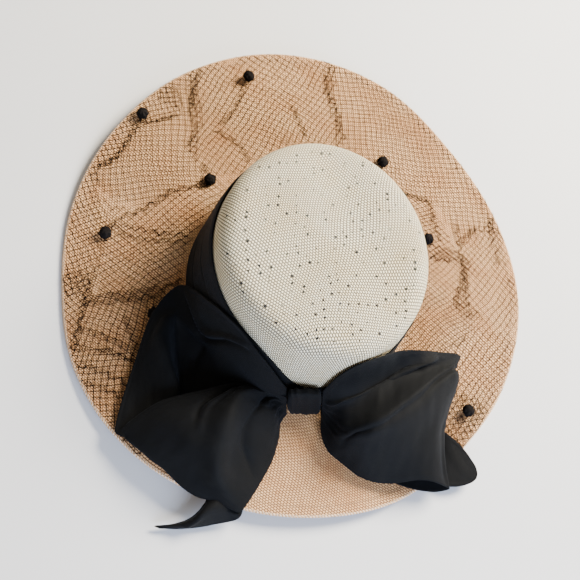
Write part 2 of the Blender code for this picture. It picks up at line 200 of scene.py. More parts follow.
# Woven paper straw: rows of small bright grains with dark gaps between them, matt, a little uneven in colour.
straw = {
    # weave in mm: grain length, row height, gap width; turn in degrees
    # straw is drawn at its real size, 1.9 to 2.9 mm a grain
    "crown": {"grain": "#FFF3D0", "shade": "#F6E5BE", "gap": "#463E2E", "age": "#F3E6C6", "weave": (2.55, 2.05, 0.8),
              "turn": 48.0},
    "brim": {"grain": "#DCAC78", "shade": "#CA9968", "gap": "#624126", "age": "#D8B086", "weave": (2.9, 1.9, 0.55),
             "turn": 41.0},
    "edgeLight": "#EBD6BC", "hemLine": "#8A6B4C",
    "swirl": 13.0, "swirlLength": 120.0,  # mm, how far and over what length the rows wander
    "grainDepth": 0.7,  # mm
    "holeSpacing": 7.8, "holeSize": 0.14, "holesWithin": 84.0,  # mm, a share of the spacing, mm from the tip's middle
    # painted shade: the pinholes are not cut, so the dark of the shaded inside seen through them is painted on the
    # straw
    "paintedHoleShade": "#0C0A08",
    "strandWidth": 1.3, "stitchLine": 8.4,  # mm: half a strand's repeat, how far in from the edge
}


def strawWeave(tree, kind):
    # Bricks half a length apart on each row; the mortar is the gap, and its soft edge rounds each grain.
    place = addNode(tree, "UVMap", {"uv_map": "weave"})
    wander = addNode(tree, "TexNoise", {"noise_dimensions": "2D", "Scale": 1 / straw["swirlLength"], "Detail": 1.0},
                     {"Vector": place})
    centred = addNode(tree, "VectorMath", {"operation": "SUBTRACT", 1: (0.5, 0.5, 0.5)}, {0: wander.outputs["Color"]})
    pushed = addNode(tree, "VectorMath", {"operation": "SCALE", "Scale": straw["swirl"] * 2}, {0: centred})
    moved = addNode(tree, "VectorMath", {"operation": "ADD"}, {0: place, 1: pushed})
    turned = addNode(tree, "Mapping", {"Rotation": (0, 0, np.radians(kind["turn"]))}, {"Vector": moved})
    brick = addNode(tree, "TexBrick", {
        "offset": 0.5, "offset_frequency": 2, "Scale": 1.0, "Brick Width": kind["weave"][0],
        "Row Height": kind["weave"][1], "Mortar Size": kind["weave"][2], "Mortar Smooth": 1.0, "Bias": -0.1,
        "Color1": hexColour(kind["grain"]), "Color2": hexColour(kind["shade"]), "Mortar": hexColour(kind["gap"])},
        {"Vector": turned})
    age = addNode(tree, "TexNoise", {"noise_dimensions": "3D", "Scale": 0.025, "Detail": 3.0}, {"Vector": place})
    ageShare = addNode(tree, "MapRange", {"From Min": 0.42, "From Max": 0.75, "To Min": 0.0, "To Max": 0.55},
                       {"Value": age})
    tint = addNode(tree, "Mix", {"data_type": "RGBA", "blend_type": "MULTIPLY", 7: hexColour(kind["age"])},
                   {0: ageShare, 6: brick.outputs["Color"]})
    return place, brick, tint


def makeCrownStraw():
    material, tree, shader = newMaterial("wovenPaperStrawIvory", 0.72, 0.35)
    place, brick, tint = strawWeave(tree, straw["crown"])
    spaced = addNode(tree, "VectorMath", {"operation": "SCALE", "Scale": 1 / straw["holeSpacing"]}, {0: place})
    holes = addNode(tree, "TexVoronoi", {"voronoi_dimensions": "2D", "Scale": 1.0, "Randomness": 0.75},
                    {"Vector": spaced})
    size = addNode(tree, "SeparateColor", {}, {"Color": holes.outputs["Color"]})
    reach = addNode(tree, "MapRange", {"From Min": 0.2, "From Max": 0.8, "To Min": 0.0, "To Max": straw["holeSize"]},
                    {"Value": size})
    fromMiddle = addNode(tree, "VectorMath", {"operation": "LENGTH"}, {0: place})
    onTip = addNode(tree, "Math", {"operation": "LESS_THAN", 1: straw["holesWithin"]}, {0: fromMiddle.outputs["Value"]})
    allowed = addNode(tree, "Math", {"operation": "MULTIPLY"}, {0: reach, 1: onTip})
    hole = addNode(tree, "Math", {"operation": "LESS_THAN"}, {0: holes.outputs["Distance"], 1: allowed})
    # Pinholes are painted dark spots, not openings: painted shade of the crown's inside.
    pierced = addNode(tree, "Mix", {"data_type": "RGBA", 7: hexColour(straw["paintedHoleShade"])},
                      {0: hole, 6: tint.outputs[2]})
    dressShader(tree, shader, pierced.outputs[2], brick.outputs["Fac"], 1.0, straw["grainDepth"])
    return material


def makeBrimStraw():
    material, tree, shader = newMaterial("wovenPaperStrawTan", 0.74, 0.3)
    place, brick, tint = strawWeave(tree, straw["brim"])
    rim = addNode(tree, "SeparateXYZ", {}, {0: addNode(tree, "UVMap", {"uv_map": "rim"})})
    # The turned edge is twisted: pale slanting strands, one every 2.6 mm of the rim.
    slant = addNode(tree, "Math", {"operation": "MULTIPLY_ADD", 1: 0.9}, {0: rim.outputs[1], 2: rim})
    strand = addNode(tree, "Math", {"operation": "PINGPONG", 1: straw["strandWidth"]}, {0: slant})
    twist = addNode(tree, "Mix", {"data_type": "RGBA", 6: hexColour(straw["edgeLight"]),
                                  7: hexColour(straw["brim"]["shade"])}, {0: strand})
    nearEdge = addNode(tree, "MapRange", {"From Min": 1.0, "From Max": 2.2, "To Min": 0.85, "To Max": 0.0},
                       {"Value": rim.outputs[1]})
    edged = addNode(tree, "Mix", {"data_type": "RGBA"}, {0: nearEdge, 6: tint.outputs[2], 7: twist.outputs[2]})
    # A line of stitching holds the hem.
    fromLine = addNode(tree, "Math", {"operation": "SUBTRACT", 1: straw["stitchLine"]}, {0: rim.outputs[1]})
    away = addNode(tree, "Math", {"operation": "ABSOLUTE"}, {0: fromLine})
    line = addNode(tree, "MapRange", {"From Min": 0.25, "From Max": 0.9, "To Min": 0.55, "To Max": 0.0},
                   {"Value": away})
    sewn = addNode(tree, "Mix", {"data_type": "RGBA", 7: hexColour(straw["hemLine"])}, {0: line, 6: edged.outputs[2]})
    dressShader(tree, shader, sewn.outputs[2], brick.outputs["Fac"], 1.0, straw["grainDepth"])
    return material


# Black woven cotton ribbon: matt with a soft bluish bloom at low angles, fine crosswise rib.
ribbon = {
    "cloth": "#070707", "worn": "#0E0E0F", "rib": "#070809", "bloom": "#B9C4D6", "bloomShare": 0.035,
    "ribSpacing": 0.9,  # mm; real rib is 0.4, drawn coarser so that it shows
    "thickness": 0.9, "hemGroove": 0.30, "hemStitch": 0.7,  # mm
    "waves": ((1.0, 34.0, 0), (0.35, 13.0, 50), (0.16, 6.0, 70)),  # share of the wrinkle, length in mm, seed step
}


def makeRibbonCloth():
    material, tree, shader = newMaterial("wovenCottonRibbonBlack", 0.68, 0.07)
    place = addNode(tree, "UVMap", {"uv_map": "cloth"})
    brick = addNode(tree, "TexBrick", {
        "offset": 0.5, "offset_frequency": 2, "Scale": 1.0, "Brick Width": ribbon["ribSpacing"] * 1.6,
        "Row Height": ribbon["ribSpacing"], "Mortar Size": 0.12, "Mortar Smooth": 1.0}, {"Vector": place})
    cloud = addNode(tree, "TexNoise", {"noise_dimensions": "2D", "Scale": 0.03, "Detail": 4.0}, {"Vector": place})
    share = addNode(tree, "MapRange", {"From Min": 0.35, "From Max": 0.7, "To Min": 0.0, "To Max": 0.6},
                    {"Value": cloud})
    tone = addNode(tree, "Mix", {"data_type": "RGBA", 6: hexColour(ribbon["cloth"]), 7: hexColour(ribbon["worn"])},
                   {0: share})
    threads = addNode(tree, "Math", {"operation": "MULTIPLY", 1: 0.6}, {0: brick.outputs["Fac"]})
    shaded = addNode(tree, "Mix", {"data_type": "RGBA", 7: hexColour(ribbon["rib"])}, {0: threads, 6: tone.outputs[2]})
    shader.inputs["Sheen Weight"].default_value = ribbon["bloomShare"]
    shader.inputs["Sheen Roughness"].default_value = 0.45
    shader.inputs["Sheen Tint"].default_value = hexColour(ribbon["bloom"])
    dressShader(tree, shader, shaded.outputs[2], brick.outputs["Fac"], 0.5, 0.2)
    return material


def makeYarn(name, thread, fade, roughness):
    # Twisted nylon or flock yarn: dark brown black, matt, paler in small random patches.
    material, tree, shader = newMaterial(name, roughness, 0.08)
    place = addNode(tree, "TexCoord", {}).outputs["Object"]
    noise = addNode(tree, "TexNoise", {"Scale": 900.0, "Detail": 2.0}, {"Vector": place})
    tone = addNode(tree, "Mix", {"data_type": "RGBA", 6: hexColour(thread), 7: hexColour(fade)}, {0: noise})
    dressShader(tree, shader, tone.outputs[2], noise, 0.4, 0.15, invert=False)
    return material


crownStraw = makeCrownStraw()
brimStraw = makeBrimStraw()
ribbonCloth = makeRibbonCloth()
netYarn = makeYarn("twistedNylonNetBrownBlack", "#080605", "#17110D", 0.85)
tuftFlock = makeYarn("flockedWoolBlack", "#0C0A09", "#1B1715", 1.0)
print("materials made")


crown = {
    "footHalfWidth": 92.6, "footHalfLength": 99.4, "tipHalfWidth": 82.8, "tipHalfLength": 93.1,
    "tipShiftX": 3.9, "tipShiftY": 2.4, "height": 91.0, "shoulder": 13.6, "straw": 1.8, "seatGap": 0.3,
    "roundSteps": 288, "wallSteps": 34, "shoulderSteps": 14, "tipSteps": 40, "dent": 1.3, "tipSag": 1.2,
}

brim = {
    "level": 12.6, "levelRing": 4.0, "rimReach": 210.0, "hemWidth": 9.0, "hemExtra": 0.6, "dent": 2.2, "rimLift": 14.0,
    "ripple": 0.35, "roundSteps": 480, "topSteps": 46,
    # every 22.5 degrees from +X to +Y: reach, lift and dent as shares
    "rows": ((0.99, 0.29, 0.3), (1.04, 0.07, -0.5), (1.1, 0, -1), (1.188, 0.29, 0.4),
             (1.181, 0.79, 1), (1.115, 0.93, 0.2), (1.032, 0.64, 0.9), (0.97, 0.14, -0.8),
             (0.926, 0, -0.3), (0.933, 0.14, 0.5), (0.932, 0.43, -0.4), (0.915, 0.57, 0),
             (0.906, 0.64, 0.3), (0.912, 0.43, 0), (0.906, 0.07, -0.5), (0.945, 0, -0.2)),
}
rimCurves = along(brim["rows"], 720, closed=True)


def rimColumn(column, angle):
    # Reach, lift or dent share in a direction, from the rows.
    values = rimCurves[:, column]
    return np.interp(np.degrees(angle) % 360.0, np.arange(721) * 0.5, np.append(values, values[0]))


def ovalReach(angle, halfWidth, halfLength):
    # Distance from the middle to an oval's edge in a direction.
    return 1.0 / np.sqrt((np.cos(angle) / halfWidth) ** 2 + (np.sin(angle) / halfLength) ** 2)


def footReach(angle, extra):
    # The oval of the crown's foot, drawn out by extra.
    return ovalReach(angle, crown["footHalfWidth"] + extra, crown["footHalfLength"] + extra)


def rimAt(angle):
    # The rim's reach times its share in that direction.
    return brim["rimReach"] * rimColumn(0, angle)


def brimTop(x, y):
    # Level at the crown, then share of the way out to the power 1.5 towards the rim's own height, plus a dent
    # that is deepest halfway, plus soft ripples.
    angle = np.arctan2(y, x)
    inner = footReach(angle, brim["levelRing"])
    share = np.clip((np.hypot(x, y) - inner) / (rimAt(angle) - inner), 0, 1)
    rimLevel = crown["straw"] + 2 * brim["hemExtra"] + brim["rimLift"] * rimColumn(1, angle)
    dent = brim["dent"] * rimColumn(2, angle) * np.sin(np.pi * share) ** 2
    ripple = brim["ripple"] * softWaves(x, y, 45.0, 3) * np.sin(np.pi * share)
    return brim["level"] + (rimLevel - brim["level"]) * share ** 1.5 + dent + ripple


def crownRing(angle, height, inset):
    # A ring of the wall at a height over its foot: half sizes go evenly from foot to tip, drawn in by inset.
    share = height / crown["height"]
    halfWidth = crown["footHalfWidth"] + (crown["tipHalfWidth"] - crown["footHalfWidth"]) * share - inset
    halfLength = crown["footHalfLength"] + (crown["tipHalfLength"] - crown["footHalfLength"]) * share - inset
    x = crown["tipShiftX"] * share + halfWidth * np.cos(angle)
    y = crown["tipShiftY"] * share + halfLength * np.sin(angle)
    return np.stack([x, y, brim["level"] + height + 0 * x], axis=-1)


def makeCrown():
    # Rings up the wall, a quarter round at the shoulder, then rings shrinking over the tip to its middle.
    angle = onceRound(crown["roundSteps"])
    wallTop = crown["height"] - crown["shoulder"]
    turn = np.linspace(0, np.pi / 2, crown["shoulderSteps"] + 1)[1:, None]
    wall = np.linspace(crown["seatGap"], wallTop, crown["wallSteps"])[:, None]
    heights = np.vstack([wall, wallTop + crown["shoulder"] * np.sin(turn)])
    insets = np.vstack([0 * wall, crown["shoulder"] * (1 - np.cos(turn))])
    rings = crownRing(angle[None, :], heights, insets)
    middle = rings[-1, :-1].mean(axis=0)
    shrink = np.linspace(1, 0, crown["tipSteps"] + 1)[1:, None, None]
    rings = np.concatenate([rings, middle + (rings[-1:] - middle) * shrink])
    rings[..., 2] += crownUneven(rings)
    # Distance from the middle of the tip along the straw, so that the weave runs on over the shoulder.
    steps = np.linalg.norm(np.diff(rings, axis=0), axis=2)
    spread = np.concatenate([np.cumsum(steps[::-1], axis=0)[::-1], np.zeros((1, rings.shape[1]))])
    weave = np.stack([spread * np.cos(angle), spread * np.sin(angle)], axis=-1)
    item = gridMesh("crown_skin", rings[:, :-1], crownStraw, uv={"weave": weave}, weld=True)
    thicken(item, crown["straw"], -1.0)
    settle(item, ["crown"])


def crownUneven(rings):
    # The tip sags a little in its middle and has shallow dents, the wall keeps its height.
    x, y = rings[..., 0], rings[..., 1]
    out = np.hypot(x / crown["tipHalfWidth"], y / crown["tipHalfLength"])
    onTip = smooth(brim["level"] + crown["height"] * 0.86, brim["level"] + crown["height"], rings[..., 2])
    sag = crown["tipSag"] * (1 - smooth(0.0, 0.85, out))
    return onTip * (crown["dent"] * softWaves(x, y, 70.0, 11) * (1 - smooth(0.8, 1.0, out)) - sag)


def makeBrim():
    # A closed section carried round the crown: top from head hole to hem, half round at the rim, back below.
    angle = onceRound(brim["roundSteps"])
    hole = footReach(angle, -crown["straw"])
    foot = footReach(angle, brim["levelRing"])
    rim = rimAt(angle)
    half = crown["straw"] / 2 + brim["hemExtra"]
    share = np.linspace(0, 1, brim["topSteps"])[:, None]
    reach = np.vstack([hole + (foot - hole) * np.array([[0.0], [0.5]]), foot + (rim - half - foot) * share])
    raised = brim["hemExtra"] * smooth(-0.7, 0.7, reach - (rim - brim["hemWidth"]))
    turn = np.linspace(np.pi / 2, -np.pi / 2, 9)[1:-1, None]
    edgeReach = rim - half + half * np.cos(turn)
    allReach = np.vstack([reach, edgeReach, reach[::-1]])
    top = brimTop(allReach * np.cos(angle), allReach * np.sin(angle))
    middle = top - crown["straw"] / 2
    lift = np.vstack([raised + crown["straw"] / 2, half * np.sin(turn) + 0 * rim, -(raised + crown["straw"] / 2)[::-1]])
    rings = np.stack([allReach * np.cos(angle), allReach * np.sin(angle), middle + lift], axis=-1)
    weave = rings[..., :2]
    around = runLengths(np.stack([rim * np.cos(angle), rim * np.sin(angle)], axis=-1))
    fromEdge = rim - allReach
    edge = np.stack([around + 0 * fromEdge, fromEdge], axis=-1)
    close = lambda grid: np.concatenate([grid, grid[:1]])
    item = gridMesh("brim_skin", rings[:, :-1], brimStraw, closedRows=True,
                    uv={"weave": close(weave), "rim": close(edge)}, flip=True)
    settle(item, ["brim"])


makeCrown()
makeBrim()
print("straw made")


band = {
    "height": 66.0, "pleats": 3, "foot": 1.3, "rise": 1.9, "frontDip": 34.0, "dipLeft": 34.0, "dipRight": 50.0,
    "knotX": -6.3, "rightStand": 0.45, "steps": 420, "pleatSteps": 18, "cloth": 0.8, "reach": 96.0,
    "knotHeading": 268.0, "plainFrom": 74.0, "plainTo": 84.0, "gatherReach": 14.0,  # degrees, the last three each side
    "slack": 0.22, "slackLength": 26.0, "gather": 0.45,  # mm
}


def makeBand():
    # Rings against the wall; each pleat stands out quickly at its lower edge, eases back and drops at its upper fold.
    angle = onceRound(band["steps"])
    side = crownRing(angle, 0.0, 0.0)
    reach = np.where(side[:, 0] < band["knotX"], band["dipLeft"], band["dipRight"])
    front = (side[:, 1] < 0) * np.exp(-((side[:, 0] - band["knotX"]) / reach) ** 2)
    height = band["height"] - band["frontDip"] * front
    level = np.linspace(0, 1, band["pleats"] * band["pleatSteps"] + 1)[:, None]
    part = (level * band["pleats"]) % 1.0
    part[-1] = 1.0
    shape = smooth(0.0, 0.12, part) * (1 - 0.35 * part) * (1 - smooth(0.88, 1.0, part))
    fromKnot = np.degrees(np.abs((angle - np.radians(band["knotHeading"]) + np.pi) % (2 * np.pi) - np.pi))
    pleated = 0.25 + 0.75 * smooth(band["plainFrom"], band["plainTo"], fromKnot)
    flattened = 1 - (1 - band["rightStand"]) * (side[:, 1] < 0) * smooth(0.0, 30.0, side[:, 0])
    stand = (band["foot"] + band["rise"] * shape * pleated) * flattened
    # Small slack folds run round the band, and gathers point at the knot.
    run = angle * band["reach"]
    stand = stand + band["slack"] * softWaves(run[None, :] * 0.5, level * height, band["slackLength"], 21)
    gather = np.exp(-(fromKnot / band["gatherReach"]) ** 2) * np.sin(level * 38.0 + 1.5 * np.sin(run / 9.0))
    stand = stand + band["gather"] * gather
    rings = crownRing(angle[None, :], 2 * crown["seatGap"] + level * height[None, :], -stand - crown["seatGap"])
    cloth = np.stack([run + 0 * level, level * height], axis=-1)
    item = gridMesh("band_ribbon", rings[:, :-1], ribbonCloth, uv={"cloth": cloth})
    thicken(item, band["cloth"], -1.0)
    settle(item, ["hat_band"])


# Rows run across the cloth, crown side first: x, y, z in mm round the crown's foot.
leftLoop = {
    "counts": (190, 72), "clear": 5.2, "hem": 3.2, "wrinkle": 0.55, "seed": 31,
    "rows": (
        ((-23.2, -99.4, 50), (-20.9, -103, 39), (-19.2, -103.8, 31), (-18.1, -105.2, 26), (-17.1, -106.4, 21)),
        ((-39.9, -90, 69), (-39.2, -98, 48), (-39, -104, 32), (-38, -110, 24), (-35, -115, 19)),
        ((-55.1, -75.8, 79.2), (-56.7, -85.5, 56), (-56, -98.5, 31), (-53, -110, 21), (-48, -120, 18)),
        ((-68.5, -59, 80), (-70, -66.8, 59), (-73, -86, 28), (-69, -105.5, 19), (-62, -122, 17)),
        ((-83.5, -35.2, 62.5), (-85.6, -51.2, 35), (-88, -74, 22), (-83.5, -101, 18), (-73, -127, 17)),
        ((-100.9, -4, 22), (-103, -34, 23), (-101, -70, 19), (-94, -102, 18), (-80, -134, 17)),
        ((-122.5, -29.9, 25), (-116.5, -55, 28), (-110, -82, 24), (-100, -112, 18), (-84, -143, 17)),
        ((-134.2, -64, 18), (-126, -86, 20), (-115, -108, 19), (-102, -131, 17), (-85, -155, 16)),
        ((-144.9, -100.6, 15), (-131, -118, 17), (-115, -135, 17), (-97, -152, 16), (-77, -170, 15)),
        ((-149.4, -126.2, 14), (-131, -141, 19), (-112, -157, 19), (-91, -174, 18), (-70.5, -178.5, 16)),
        ((-139, -119, 20), (-122, -135, 29), (-103, -151, 31), (-82, -169, 25), (-57.1, -187, 17)),
        ((-125.3, -110, 27), (-111, -124, 38), (-93, -141, 42), (-72, -161, 32), (-50.8, -181.5, 18)),
        ((-105.8, -102.6, 34), (-94, -114, 42), (-78, -130, 47), (-60, -149, 34), (-42.8, -170, 19)),
        ((-79.9, -97.5, 40), (-72, -106, 45), (-60, -118, 47), (-45, -133, 36), (-31.2, -150.7, 20)),
        ((-58, -93.5, 43), (-53, -101, 45), (-44, -111, 44), (-33, -121, 35), (-24.6, -132.8, 21)),
        ((-39, -97.6, 44), (-36.5, -101.5, 42), (-32.5, -107, 38), (-27, -113, 32), (-23.2, -119.8, 22)),
        ((-21.5, -104, 42), (-20.5, -105.8, 37), (-19.5, -107.6, 32), (-18.4, -109.4, 27), (-17.4, -111, 22))),
    # each crease: its points as shares of the run and the width, depth and width in mm; "tent" makes its line crisp
    "creases": (
        (((0.318, 0.026), (0.294, 0.118), (0.263, 0.2), (0.24, 0.223), (0.212, 0.216), (0.183, 0.18), (0.153, 0.095),
          (0.127, 0.03)), 3.2, 1.6),
        (((0.318, 0.06), (0.294, 0.155), (0.263, 0.24), (0.24, 0.258), (0.212, 0.25), (0.183, 0.215), (0.153, 0.13),
          (0.127, 0.07)), -2.8, 1.7),
        (((0.385, 0.111), (0.391, 0.244), (0.385, 0.464), (0.369, 0.66)), 7, 9, "tent"),
        (((0.385, 0.111), (0.318, 0.25), (0.262, 0.24)), 2.6, 3, "tent"),
        (((0.25, 0.27), (0.258, 0.353), (0.272, 0.457), (0.298, 0.593), (0.327, 0.68)), -7, 6, "tent"),
        (((0.235, 0.33), (0.2, 0.45), (0.16, 0.44), (0.11, 0.27)), -1, 5),
        (((0.925, 0.02), (0.871, 0.137), (0.805, 0.234), (0.775, 0.32), (0.75, 0.42)), 2.6, 3),
        (((0.9, 0.14), (0.859, 0.225), (0.8, 0.285), (0.768, 0.365), (0.745, 0.44)), -2.8, 2.4),
        (((0.95, 0.2), (0.883, 0.3), (0.812, 0.485), (0.751, 0.615), (0.681, 0.793)), -6.5, 8),
        (((0.985, 0.152), (0.95, 0.36), (0.916, 0.507), (0.868, 0.586), (0.833, 0.645), (0.808, 0.719), (0.798, 0.82),
          (0.79, 0.91)), 4.6, 4, "tent"),
        (((0.995, 0.42), (0.965, 0.6), (0.93, 0.75)), -1.6, 2),
        (((0.99, 0.28), (0.955, 0.42), (0.93, 0.56)), -1.3, 1.5),
        (((0.99, 0.6), (0.97, 0.74), (0.95, 0.86)), 1.2, 1.6),
        (((0.64, 0.02), (0.6, 0.1), (0.585, 0.22)), 1.4, 3)),
}
rightLoop = {
    "counts": (170, 72), "clear": 5.2, "hem": 3.2, "wrinkle": 0.5, "seed": 32,
    "rows": (
        ((5.9, -100.4, 49), (7.2, -103.4, 42), (8.9, -106.5, 34), (10.1, -109, 28), (11, -111.5, 23)),
        ((12.6, -96, 74), (18.5, -101, 45), (18, -114, 35), (14, -121, 27), (11, -128.5, 20)),
        ((25.5, -91, 87), (32.8, -98.5, 46), (25, -126, 44), (20, -134, 33), (16, -140, 20)),
        ((43.5, -83.8, 85), (49.4, -93, 46), (37, -126.5, 54), (31, -139, 40), (26, -149.5, 20)),
        ((60.5, -76, 76), (66, -86.5, 46), (50, -123.5, 60), (46, -142, 43), (41.5, -160.5, 19)),
        ((83, -68.5, 63), (85, -78.5, 50), (69, -113, 62), (66, -140, 44), (61.5, -165, 19)),
        ((106, -65.5, 52), (104.5, -76, 50), (97, -96.5, 57), (93, -132, 42), (90, -164, 26)),
        ((127.5, -63, 41), (122, -74, 45), (121, -88, 44), (109.5, -124, 33), (112.5, -167.5, 19)),
        ((128, -66.5, 29), (123, -80, 27), (121, -97, 23), (111, -129, 19), (114, -169, 14)),
        ((112, -76, 18), (108, -90, 17), (105, -108, 15), (102, -136, 13), (99, -170, 12)),
        ((84, -84, 18), (81, -96, 17), (78, -112, 16), (76, -135, 15), (74, -165, 13)),
        ((54, -97, 18), (52, -106, 18), (49, -118, 17), (45, -132, 16), (40, -148, 16)),
        ((26, -105, 20), (25, -110, 19), (23.5, -116, 18), (21, -122, 17), (18, -129, 17)),
        ((11.2, -103.6, 21.6), (11.4, -105, 20.4), (11.7, -106.4, 19.4), (11.8, -107.8, 18.6), (11.9, -109.2, 18))),
    "creases": (
        (((0.56, 0.18), (0.49, 0.27), (0.42, 0.39), (0.364, 0.477), (0.311, 0.49), (0.257, 0.511), (0.201, 0.525),
          (0.151, 0.561), (0.13, 0.667), (0.135, 0.8)), 2.4, 3.4),
        (((0.5, 0.22), (0.43, 0.33), (0.37, 0.42), (0.311, 0.44), (0.257, 0.46), (0.201, 0.475), (0.14, 0.5)),
         -0.7, 2.4),
        (((0, 0.34), (0.065, 0.27), (0.119, 0.25), (0.194, 0.26), (0.251, 0.23), (0.321, 0.15), (0.4, 0.1)), -9, 8),
        (((0, 0.22), (0.06, 0.19), (0.115, 0.18)), -0.6, 2),
        (((0, 0.4), (0.06, 0.33), (0.12, 0.31)), 0.7, 2.4),
        (((0, 0.48), (0.1, 0.38), (0.17, 0.37)), -0.7, 2.2),
        (((0, 0.6), (0.07, 0.55), (0.12, 0.52)), 0.6, 2.8),
        (((0, 0.75), (0.06, 0.7), (0.11, 0.68)), -0.6, 2.8),
        (((0.485, 0.66), (0.48, 0.755), (0.487, 0.86), (0.493, 1)), 1.8, 6)),
}
leftTail = {
    "counts": (80, 30), "clear": 3.6, "hem": 2, "wrinkle": 0.25, "seed": 33,
    "rows": (
        ((-78, -150, 14), (-68, -157, 14), (-56, -164, 14)),
        ((-80, -164, 13.5), (-72, -169, 14), (-54, -176, 13)),
        ((-81, -178, 10), (-73.5, -179.5, 19), (-55, -189.5, 10)),
        ((-90, -188, 6), (-83, -188.5, 17), (-73, -193.8, 7.5)),
        ((-103, -193, 4.5), (-97, -194.6, 10), (-93, -196.4, 5.5)),
        ((-118.5, -194.6, 5), (-117.6, -195.2, 4.8), (-115, -196.4, 5))),
    "creases": ((((0.28, 0.16), (0.45, 0.32), (0.62, 0.45), (0.78, 0.55)), 2.6, 3, "tent"),),
}
rightTail = {
    "counts": (80, 40), "clear": 3.6, "hem": 2, "wrinkle": 0.3, "seed": 34,
    "rows": (
        ((88, -106, 0), (84, -131, 0), (82, -155, 0)),
        ((104, -110, 0), (100, -135, 0), (98, -160, 0)),
        ((118, -119, 11), (115, -142, 9), (114, -164.5, 9)),
        ((131, -131.6, 13), (129, -149, 12), (127, -165, 9.5)),
        ((140.2, -144.3, 12), (140, -153, 11.5), (138.2, -161.9, 10)),
        ((143.5, -151, 11), (144, -154.5, 10.8), (143, -158, 10.4))),
    "creases": (),
}


def lengthsAlong(sheet, axis):
    # Running length of the grid's lines in one direction, averaged over the lines.
    steps = np.linalg.norm(np.diff(sheet, axis=axis), axis=2).mean(axis=1 - axis)
    return np.concatenate([[0.0], np.cumsum(steps)])


def ribbonSheet(piece):
    # Cloth through the rows; folds and hems then push it along its own normal, the cross product of its directions.
    sheet = along(piece["rows"], piece["counts"][0])
    sheet = np.swapaxes(along(np.swapaxes(sheet, 0, 1), piece["counts"][1]), 0, 1)
    normal = unit(np.cross(np.gradient(sheet, axis=0), np.gradient(sheet, axis=1)))
    run = lengthsAlong(sheet, 0)[:, None] + 0 * sheet[..., 0]
    across = lengthsAlong(sheet, 1)[None, :] + 0 * sheet[..., 0]
    push = 0.0
    for share, length, seed in ribbon["waves"]:
        push = push + share * piece["wrinkle"] * softWaves(run, across, length, piece["seed"] + seed)
    for points, depth, width, *tent in piece["creases"]:
        away, fade = creaseReach(run, across, points)
        away = away / width
        # a tent has a crisp line and long slopes, any other fades softly both ways
        push = push + depth * fade * np.exp(-np.sqrt(away ** 2 + 0.02) if tent else -away ** 2)
    fromHem = np.minimum(across, across.max() - across)
    push = push - ribbon["hemGroove"] * np.exp(-((fromHem - piece["hem"]) / ribbon["hemStitch"]) ** 2)
    u = run / run.max()
    endTaper = smooth(0.0, 0.03, u) * smooth(0.0, 0.03, 1 - u)
    sheet = sheet + normal * (push * endTaper)[..., None]
    floor = brimTop(sheet[..., 0], sheet[..., 1]) + piece["clear"]
    over = np.hypot(sheet[..., 0], sheet[..., 1]) < rimAt(np.arctan2(sheet[..., 1], sheet[..., 0])) + 6.0
    sheet[..., 2] = np.where(over, np.maximum(sheet[..., 2], floor), sheet[..., 2])
    return sheet, np.stack([run, across], axis=-1)


def creaseReach(run, across, points):
    # Shortest distance in the flat cloth from each point to a line through the given shares of run and width, and a
    # fade that is 0 at the line's two ends and 1 along its middle.
    ends = np.array(points, dtype=float) * [run.max(), across.max()]
    here = np.stack([run, across], axis=-1)
    lengths = runLengths(ends)
    best, place = np.full(run.shape, 1e9), np.zeros(run.shape)
    for a, b, start, length in zip(ends[:-1], ends[1:], lengths[:-1], np.diff(lengths)):
        part = np.clip(((here - a) * (b - a)).sum(-1) / max(length ** 2, 1e-9), 0, 1)
        away = np.linalg.norm(here - a - part[..., None] * (b - a), axis=-1)
        place = np.where(away < best, (start + part * length) / lengths[-1], place)
        best = np.minimum(best, away)
    return best, smooth(-0.05, 0.16, place) * smooth(-0.05, 0.16, 1 - place)


def makeRibbon(name, node, piece):
    # The shaped sheet as quads, given its thickness.
    sheet, cloth = ribbonSheet(piece)
    item = gridMesh(name, sheet, ribbonCloth, closedColumns=False, uv={"cloth": cloth})
    thicken(item, ribbon["thickness"], 0.0, even=False)  # the turned ends are too sharp for an even wall
    settle(item, [node])


knot = {
    "x": -6.3, "width": 27.0, "depth": 8.5, "height": 34.0, "back": 101.1, "lift": 7.4, "lean": 0.15, "slant": -0.2,
    "folds": 0.9, "pinch": 0.16, "squareness": 0.55, "ringSteps": 120, "acrossSteps": 60,
}


def makeKnot():
    # A soft ring of ribbon over the bow's middle: a squared oval in side view, carried across, drawn in at both ends,
    # with folds that run round it and gather to the left.
    turn = onceRound(knot["ringSteps"])
    t = np.linspace(-1, 1, knot["acrossSteps"])[:, None]
    bulge = 1 - knot["pinch"] * np.abs(t) ** 5
    close = 0.5 + 0.5 * np.sqrt(np.clip(1 - np.abs(t) ** 14, 0, 1))
    squared = lambda value: np.sign(value) * np.abs(value) ** knot["squareness"]
    folds = knot["folds"] * (0.6 * np.sin(9.0 * t + 0.5 * np.sin(2 * turn)) * smooth(-1.0, -0.2, t)
                             + np.cos(16.0 * t + 1.2 * np.sin(turn + 0.8)) * (1 - smooth(-0.9, -0.1, t)))
    ringY = (knot["depth"] / 2) * squared(np.cos(turn)) * bulge * close
    ringZ = (knot["height"] / 2) * squared(np.sin(turn)) * bulge * close
    ringY = ringY + folds * np.cos(turn) * close * 0.6
    ringZ = ringZ + folds * np.sin(turn) * close
    x = knot["x"] + t * knot["width"] / 2 + knot["slant"] * ringZ
    y = -knot["back"] - knot["depth"] / 2 + np.minimum(ringY, knot["depth"] / 2) + knot["lean"] * ringZ
    z = brim["level"] + knot["lift"] + knot["height"] / 2 + ringZ
    points = np.stack([x, y, z], axis=-1)
    cloth = np.stack([turn * 12.0 + 0 * t, x + 0 * turn], axis=-1)
    item = gridMesh("knot_ribbon", points[:, :-1], ribbonCloth, uv={"cloth": cloth})
    thicken(item, ribbon["thickness"], -1.0)
    settle(item, ["bow_knot"])


